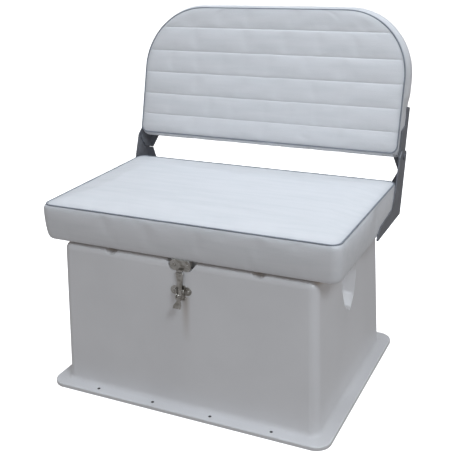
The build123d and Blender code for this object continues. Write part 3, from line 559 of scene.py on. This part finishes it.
def rim(grid):
    """Points round the edge of a grid, anticlockwise from its first corner."""
    return np.concatenate([grid[0, :-1], grid[:-1, -1], grid[-1, :0:-1], grid[:0:-1, 0]])


def grown(points, middle, half_size, reach):
    """Flat points moved outward from the middle by a reach at the edges."""
    return middle + (points - middle) * (1 + reach / half_size)


def board_face(plan, middle, half_size, inset, height):
    """Grid that lies on the board inside the hem."""
    inner = grown(plan, middle, half_size, -inset)
    return np.dstack([inner, np.full(inner.shape[:2], height)])


def seam_closeness(panel_gap, boxing, ring_length):
    """1 on the seam and less away from it, for the points of a panel and then of its rings."""
    on_rings = [np.full(ring_length, math.exp(-gap / SEAM_REACH)) for gap, _ in boxing]
    return np.concatenate([np.exp(-panel_gap.ravel() / SEAM_REACH), *on_rings])


print("grime fades over", 1000 * SEAM_REACH, "mm")

# %% [markdown]
# The mesh is the panel's grid, then the rings of the boxing, then the grid on the board, joined edge
# to edge with quads. Every point also stores how near it is to a seam, for the grime in the finish.

# %% Mesh of a sewn pad
HELD_LOOPS = 4  # the hem's rings and the edge of the grid on the board


def sewn_pad(name, panel, rings, floor_grid, near_seam):
    """Closed mesh of a panel, its boxing and its floor; also the points that seam and board hold."""
    number = np.arange(panel.shape[0] * panel.shape[1]).reshape(panel.shape[:2])
    edge = rim(number)
    blocks = [panel.reshape(-1, 3), *rings, floor_grid.reshape(-1, 3)]
    starts = np.cumsum([0] + [len(block) for block in blocks])
    floor_start = starts[-2]
    loops = [edge] + [start + np.arange(len(edge)) for start in starts[1:-2]] + [floor_start + edge]
    corners = [number[:-1, :-1], number[:-1, 1:], number[1:, 1:], number[1:, :-1]]
    quads = np.stack(corners, axis=-1).reshape(-1, 4)
    faces = [quads, quads[:, ::-1] + floor_start]
    for upper, lower in zip(loops, loops[1:]):
        faces.append(np.stack([upper, lower, np.roll(lower, -1), np.roll(upper, -1)], axis=-1))
    mesh = bpy.data.meshes.new(name)
    mesh.from_pydata(np.concatenate(blocks).tolist(), [], np.concatenate(faces).tolist())
    closeness = np.concatenate([near_seam, np.zeros(len(mesh.vertices) - len(near_seam))])
    mesh.attributes.new("seam", "FLOAT", "POINT").data.foreach_set("value", closeness.astype(np.float32))
    mesh.shade_smooth()
    print(name, "mesh:", len(mesh.vertices), "points")
    held = np.concatenate([loops[0], *loops[-HELD_LOOPS:], floor_start + number.ravel()])
    return put_in_scene(name, mesh), held


# %% [markdown]
# Vinyl over foam is tight but not perfect, so the cover is simulated as cloth: the seams are held,
# a little pressure stands for the foam, and the cloth is a touch too large, so it puckers where it
# is sewn. A cap keeps every point near the place that the solid gives it. Slow noise, added before,
# keeps the panels from being perfectly even where the cloth hardly moves.

# %% Cloth over foam
TINY = 1e-9  # keeps a division from meeting zero


def puff(pad, held, pressure, growth, cap, frames):
    """Swell a pad as cloth with some points held, and keep the result as its mesh."""
    pins = pad.vertex_groups.new(name="held")
    pins.add([int(n) for n in held], 1.0, "REPLACE")
    cover = pad.modifiers.new("vinyl_over_foam", "CLOTH")
    cover.settings.vertex_group_mass = pins.name
    cover.settings.use_pressure = True
    cover.settings.uniform_pressure_force = pressure
    cover.settings.shrink_min = -growth
    cover.settings.tension_stiffness = 40
    cover.settings.compression_stiffness = 40
    cover.settings.bending_stiffness = 2.0
    cover.settings.quality = 6
    cover.settings.effector_weights.gravity = 0
    cover.collision_settings.use_collision = False
    cover.point_cache.frame_end = frames
    for step in range(1, frames + 1):
        bpy.context.scene.frame_set(step)
    result = pad.evaluated_get(bpy.context.evaluated_depsgraph_get()).data
    before = np.empty(3 * len(pad.data.vertices))
    after = np.empty(3 * len(pad.data.vertices))
    pad.data.vertices.foreach_get("co", before)
    result.vertices.foreach_get("co", after)
    move = (after - before).reshape(-1, 3)
    reach = np.linalg.norm(move, axis=1, keepdims=True)
    move *= np.minimum(1, cap / np.maximum(reach, TINY))
    pad.modifiers.remove(cover)
    pad.data.vertices.foreach_set("co", before + move.reshape(-1))
    pad.data.update()
    bpy.context.scene.frame_set(1)
    print(pad.name, "cloth moved up to", round(1000 * float(reach.max()), 1), "mm, kept to", 1000 * cap)


def roughened(points, size, depth, seed):
    """Points shifted along their last axis by slow noise, so that no panel is perfectly even."""
    shifted = points.copy()
    for point in shifted.reshape(-1, 3):
        point[2] += depth * noise.noise(Vector((point[0], point[1], seed)) / size)
    return shifted


def dress_pad(pad):
    """White vinyl on a pad, with its grid smoothed."""
    pad.data.materials.append(white_vinyl)
    pad.modifiers.new("smooth", "SUBSURF").render_levels = 1


# %% [markdown]
# ## Seat cushion
# The seat's top is one plain panel with small round corners. Its grid needs rows that step round the
# corners and even rows between them.

# %% Plan of the seat cushion
SEAT_HALF = 0.3175
SEAT_FRONT, SEAT_BACK = -0.1952, 0.1922
SEAT_CORNER = 0.018
SEAT_CORNER_ROWS, SEAT_ROWS, SEAT_COLUMNS = 5, 52, 86
seat_middle = np.array([0.0, (SEAT_FRONT + SEAT_BACK) / 2])
seat_half_size = np.array([SEAT_HALF, (SEAT_BACK - SEAT_FRONT) / 2])
seat_corner = corner_steps(SEAT_CORNER, SEAT_CORNER_ROWS)
seat_rows = np.concatenate([
    SEAT_FRONT + seat_corner,
    np.linspace(SEAT_FRONT + SEAT_CORNER, SEAT_BACK - SEAT_CORNER, SEAT_ROWS),
    SEAT_BACK - seat_corner[::-1],
])
seat_widths = half_widths(seat_rows, SEAT_HALF, SEAT_CORNER, SEAT_CORNER)
seat_plan = pad_plan(seat_rows, seat_widths, SEAT_COLUMNS)
print("seat plan:", seat_plan.shape[0], "rows of", seat_plan.shape[1])

# %% [markdown]
# The top is crowned: it rises fast by the piping and is nearly flat in the middle. The boxing swells
# out under the piping and is drawn in again where it is stapled under the board. Beside the bracket
# arms the metal presses it flat. The swell is a short list of steps, because foam under a sewn strip
# follows no one curve.

# %% Top and boxing of the seat cushion
SEAT_SEAM = 0.4005  # height of the piping
SEAT_CROWN = 0.0092
CROWN_RUN = 0.020  # how far in from the seam the top has done most of its rise
ARM_FRONT = 0.03  # where the bracket arms start
ARM_EASE = 0.05  # how far in front of the arms the boxing starts to be drawn in
ARM_SIDE = 0.28  # points further from the middle than this are on the sides
ARM_ROOM = 0.0022
SEAT_BOARD_INSET = 0.0095
SEAT_BOARD_DEPTH = 0.0632
SEAT_BOXING = [  # below the seam, out from it
    (0.0015, 0.0022), (0.004, 0.0038), (0.008, 0.0048), (0.014, 0.0053), (0.022, 0.0054), (0.035, 0.0052),
    (0.048, 0.0046), (0.060, 0.0037), (0.068, 0.0025), (0.0732, 0.0004), (0.0755, -0.0024),
    (0.0755, -SEAT_BOARD_INSET),
]


def seat_panel():
    """Crowned top panel of the seat, and how far each of its points is from the seam."""
    side_gap = seat_widths[:, None] - np.abs(seat_plan[..., 0])
    end_gap = np.minimum(seat_plan[..., 1] - SEAT_FRONT, SEAT_BACK - seat_plan[..., 1])
    edge_gap = side_gap * end_gap / (side_gap + end_gap + TINY)
    rise = SEAT_CROWN * (1 - np.exp(-edge_gap / CROWN_RUN))
    return np.dstack([seat_plan, SEAT_SEAM + rise]), edge_gap


def seat_ring(drop, bulge):
    """Ring of the seat's boxing, pressed flat beside the bracket arms."""
    ring = rim(seat_plan)
    by_arm = np.clip((ring[:, 1] - ARM_FRONT + ARM_EASE) / ARM_EASE, 0, 1)
    pressed = bulge + by_arm * (min(bulge, ARM_ROOM) - bulge)
    reach = np.where(np.abs(ring[:, 0]) > ARM_SIDE, pressed, bulge)
    ring = grown(ring, seat_middle, seat_half_size, reach[:, None])
    return np.column_stack([ring, np.full(len(ring), SEAT_SEAM - drop)])


seat_top, seat_gap = seat_panel()
seat_rings = [seat_ring(drop, bulge) for drop, bulge in SEAT_BOXING]
print("seat top rises", round(1000 * (seat_top[..., 2].max() - SEAT_SEAM), 1), "mm")

# %% [markdown]
# The pad takes the place of the solid cushion and rides on the lid.

# %% Seat cushion
seat_pad, seat_held = sewn_pad(
    "seat_pad", roughened(seat_top, size=0.05, depth=0.0004, seed=1.0), seat_rings,
    board_face(seat_plan, seat_middle, seat_half_size, SEAT_BOARD_INSET, SEAT_SEAM - SEAT_BOARD_DEPTH),
    seam_closeness(seat_gap, SEAT_BOXING, len(seat_rings[0])))
puff(seat_pad, seat_held, pressure=0.8, growth=0.0015, cap=0.003, frames=14)
dress_pad(seat_pad)
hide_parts("seat_cushion")
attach(seat_pad, "lid")
print("seat pad: held at", len(seat_held), "points")

# %% [markdown]
# ## Backrest cushion
# The backrest leans back, so it is laid out flat, across and up its own slope, and then turned into
# place. Its panel is sewn down in straight lines. Each line is a row of the grid, and the rows crowd
# towards it, where the vinyl turns down sharply.

# %% Plan of the backrest cushion
BACK_HALF = 0.314
BACK_HEIGHT = 0.2958
BACK_TILT = math.radians(15.6)
BACK_ORIGIN = Vector((0, 0.1994, 0.4615))  # middle of the lower seam
BACK_LOW_RADIUS, BACK_TOP_RADIUS = 0.015, 0.140
STITCH_LINES = [0.044, 0.093, 0.144, 0.195, 0.250]
BACK_CORNER_ROWS, CHANNEL_ROWS, BACK_COLUMNS = 4, 11, 96
back_middle = np.array([0.0, BACK_HEIGHT / 2])
back_half_size = np.array([BACK_HALF, BACK_HEIGHT / 2])


def on_backrest(points):
    """Points given across, up the slope and out from the front plane, in the frame of the seat."""
    slope = np.array([0, math.sin(BACK_TILT), math.cos(BACK_TILT)])
    out = np.array([0, -math.cos(BACK_TILT), math.sin(BACK_TILT)])
    flat = points[..., :1] * np.array([1.0, 0, 0])
    return np.array(BACK_ORIGIN) + flat + points[..., 1:2] * slope + points[..., 2:3] * out


channel_edges = [BACK_LOW_RADIUS, *STITCH_LINES, BACK_HEIGHT]
channel_rows = [eased(low, high, CHANNEL_ROWS) for low, high in zip(channel_edges, channel_edges[1:])]
back_rows = np.concatenate([corner_steps(BACK_LOW_RADIUS, BACK_CORNER_ROWS), *channel_rows, [BACK_HEIGHT]])
back_widths = half_widths(back_rows, BACK_HALF, BACK_LOW_RADIUS, BACK_TOP_RADIUS)
back_plan = pad_plan(back_rows, back_widths, BACK_COLUMNS)
stitched_rows = [int(np.abs(back_rows - line).argmin()) for line in STITCH_LINES]
print("backrest plan:", back_plan.shape[0], "rows, stitched at", stitched_rows)

# %% [markdown]
# The foam between the lines swells into channels, full and nearly flat in the middle. Behind the
# piping the boxing is wider than the front panel all round, except low down, where the brackets
# press on it. At the top it is fuller still, because nothing holds it there.

# %% Front and boxing of the backrest cushion
CHANNEL_RISE = 0.0024
CHANNEL_ROUND = 0.25  # 1 is a plain hump, and less is fuller by the lines
CHANNEL_RUN = 0.012  # how far in from the side seam a channel has done most of its rise
TOP_FULLNESS = 1.3  # how much more the boxing swells at the top than at the sides
BRACKET_TOP = 0.107
BRACKET_EASE = 0.016  # how far above the brackets the boxing starts to be drawn in
BRACKET_FACE = 0.3165
BACK_BOARD_INSET = 0.0047
BACK_BOARD_DEPTH = 0.0352
BACK_BOXING = [  # behind the seam, out from it
    (0.0015, 0.0008), (0.005, 0.0030), (0.011, 0.0055), (0.018, 0.0074), (0.026, 0.0082), (0.034, 0.0078),
    (0.041, 0.0062), (0.0455, 0.0040), (0.0470, 0.0012), (0.0470, -BACK_BOARD_INSET),
]


def back_panel():
    """Front panel of the backrest, and how far each of its points is from the seam."""
    lines = np.array([0, *STITCH_LINES, BACK_HEIGHT])
    lower = np.clip(np.searchsorted(lines, back_rows, side="right") - 1, 0, len(lines) - 2)
    share = (back_rows - lines[lower]) / (lines[lower + 1] - lines[lower])
    swell = np.clip(4 * share * (1 - share), 0, 1) ** CHANNEL_ROUND
    side_gap = back_widths[:, None] - np.abs(back_plan[..., 0])
    rise = CHANNEL_RISE * swell[:, None] * (1 - np.exp(-side_gap / CHANNEL_RUN))
    end_gap = np.minimum(back_rows, BACK_HEIGHT - back_rows)
    return np.dstack([back_plan, rise]), np.minimum(side_gap, end_gap[:, None])


def back_ring(depth, bulge):
    """Ring of the backrest's boxing, held inside the brackets low down."""
    ring = rim(back_plan)
    upward = bulge * np.where(ring[:, 1] > back_middle[1], TOP_FULLNESS, 1.0)
    ring = grown(ring, back_middle, back_half_size, np.column_stack([np.full(len(ring), bulge), upward]))
    by_bracket = np.clip((BRACKET_TOP + BRACKET_EASE - ring[:, 1]) / BRACKET_EASE, 0, 1)
    limit = BACK_HALF + abs(bulge) + by_bracket * (BRACKET_FACE - BACK_HALF - abs(bulge))
    ring[:, 0] = np.clip(ring[:, 0], -limit, limit)
    return np.column_stack([ring, np.full(len(ring), -depth)])


back_front, back_gap = back_panel()
back_rings = [back_ring(depth, bulge) for depth, bulge in BACK_BOXING]
print("channels:", len(STITCH_LINES) + 1)

# %% [markdown]
# The stitched rows are held along with the seam while the cloth swells. The pad takes the place of
# the solid cushion and rides on the backrest.

# %% Backrest cushion
back_pad, back_held = sewn_pad(
    "backrest_pad", on_backrest(roughened(back_front, size=0.06, depth=0.0003, seed=5.0)),
    [on_backrest(ring) for ring in back_rings],
    on_backrest(board_face(back_plan, back_middle, back_half_size, BACK_BOARD_INSET, -BACK_BOARD_DEPTH)),
    seam_closeness(back_gap, BACK_BOXING, len(back_rings[0])))
stitched = [row * BACK_COLUMNS + np.arange(BACK_COLUMNS) for row in stitched_rows]
back_held = np.concatenate([back_held, *stitched])
puff(back_pad, back_held, pressure=0.8, growth=0.0015, cap=0.0012, frames=14)
dress_pad(back_pad)
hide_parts("backrest_cushion")
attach(back_pad, "backrest")
print("backrest pad: held at", len(back_held), "points")

# %% [markdown]
# ## Piping
# Piping is a thin cord wrapped in grey vinyl and sewn into the seam, so half of it shows. A chain of
# small cylinders would kink at the corners, so it is a round curve led along the seam's own points.
# It wanders and thins a little, as a sewn line always does.

# %% Piping
PIPING_RADIUS = 0.0016
WANDER, WANDERS_PER_METRE = 0.0003, 40
THINNING, THINNINGS_PER_METRE = 0.08, 90  # the first is a share of the radius


def sew_piping(name, path, body, node):
    """Grey piping along a closed line of points."""
    curve = bpy.data.curves.new(name, "CURVE")
    curve.dimensions = "3D"
    curve.bevel_depth = PIPING_RADIUS
    curve.bevel_resolution = 3
    curve.resolution_u = 3
    line = curve.splines.new("NURBS")
    line.points.add(len(path) - 1)
    for knot, point in zip(line.points, path):
        wander = WANDER * noise.noise(Vector(point) * WANDERS_PER_METRE)
        knot.co = (point[0], point[1], point[2] + wander, 1)
        knot.radius = 1 + THINNING * noise.noise(Vector(point) * THINNINGS_PER_METRE)
    line.use_cyclic_u = True
    line.order_u = 3
    cord = put_in_scene(name, curve)
    mesh = bpy.data.meshes.new_from_object(cord.evaluated_get(bpy.context.evaluated_depsgraph_get()))
    bpy.data.objects.remove(cord)
    mesh.materials.clear()
    mesh.materials.append(grey_vinyl)
    mesh.shade_smooth()
    trim = put_in_scene(name, mesh)
    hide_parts(node)
    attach(trim, body)
    print(name, len(mesh.vertices), "points")


seat_edge = rim(seat_plan)
seat_line = np.column_stack([seat_edge, np.full(len(seat_edge), SEAT_SEAM)])
sew_piping("seat_welt", seat_line, "lid", "seat_piping")
back_edge = rim(back_plan)
back_line = on_backrest(np.column_stack([back_edge, np.zeros(len(back_edge))]))
sew_piping("backrest_welt", back_line, "backrest", "backrest_piping")

# %% [markdown]
# ## Stitches
# Each channel is closed by a row of lockstitches in spun polyester thread. A stitch is a short thread
# that dives into the vinyl at both ends, so it is drawn as a spindle, a little thicker than real
# thread so that it shows. One stitch is made and then repeated, because all are alike.

# %% One stitch
STITCH_LENGTH = 0.0042
THREAD_RADIUS = 0.0006
STITCH_SIDES = 6
STITCH_PROFILE = [  # place along it in stitch lengths, thickness and height in thread radii
    (-0.5, 0.15, -1.0), (-0.3, 0.85, 0.3), (0.0, 1.0, 0.7), (0.3, 0.85, 0.3), (0.5, 0.15, -1.0),
]
turn = np.linspace(0, 2 * np.pi, STITCH_SIDES, endpoint=False)
stitch_points = np.concatenate([
    np.column_stack([
        np.full(STITCH_SIDES, along * STITCH_LENGTH),
        THREAD_RADIUS * thick * np.cos(turn),
        THREAD_RADIUS * (height + thick * np.sin(turn)),
    ]) for along, thick, height in STITCH_PROFILE])
number = np.arange(len(stitch_points)).reshape(-1, STITCH_SIDES)
following = np.roll(number, -1, axis=1)
stitch_faces = np.stack([number[:-1], following[:-1], following[1:], number[1:]], axis=-1).reshape(-1, 4)
print("one stitch:", len(stitch_points), "points and", len(stitch_faces), "faces")

# %% [markdown]
# The rows follow the stitch lines of the panel and stop short of the piping at both ends. All the
# stitches are one mesh, which rides on the backrest.

# %% Stitches
STITCH_PITCH = 0.0054
STITCH_MARGIN = 0.006  # from the last stitch to the piping
thread = specked_finish("white_polyester_thread", pale="#F4F5F8", dark="#ECEEF2", roughness=0.6, speck=0.8)
middles = []
for row in stitched_rows:
    row_half = back_widths[row] - STITCH_MARGIN
    middles += [(x, back_rows[row], 0.0) for x in np.arange(-row_half, row_half, STITCH_PITCH)]
all_points = np.concatenate([stitch_points + middle for middle in middles])
all_faces = np.concatenate([stitch_faces + len(stitch_points) * n for n in range(len(middles))])
stitch_mesh = bpy.data.meshes.new("channel_stitches")
stitch_mesh.from_pydata(on_backrest(all_points).tolist(), [], all_faces.tolist())
stitch_mesh.materials.append(thread)
stitch_mesh.shade_smooth()
stitches = put_in_scene("channel_stitches", stitch_mesh)
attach(stitches, "backrest")
print("stitches:", len(middles))
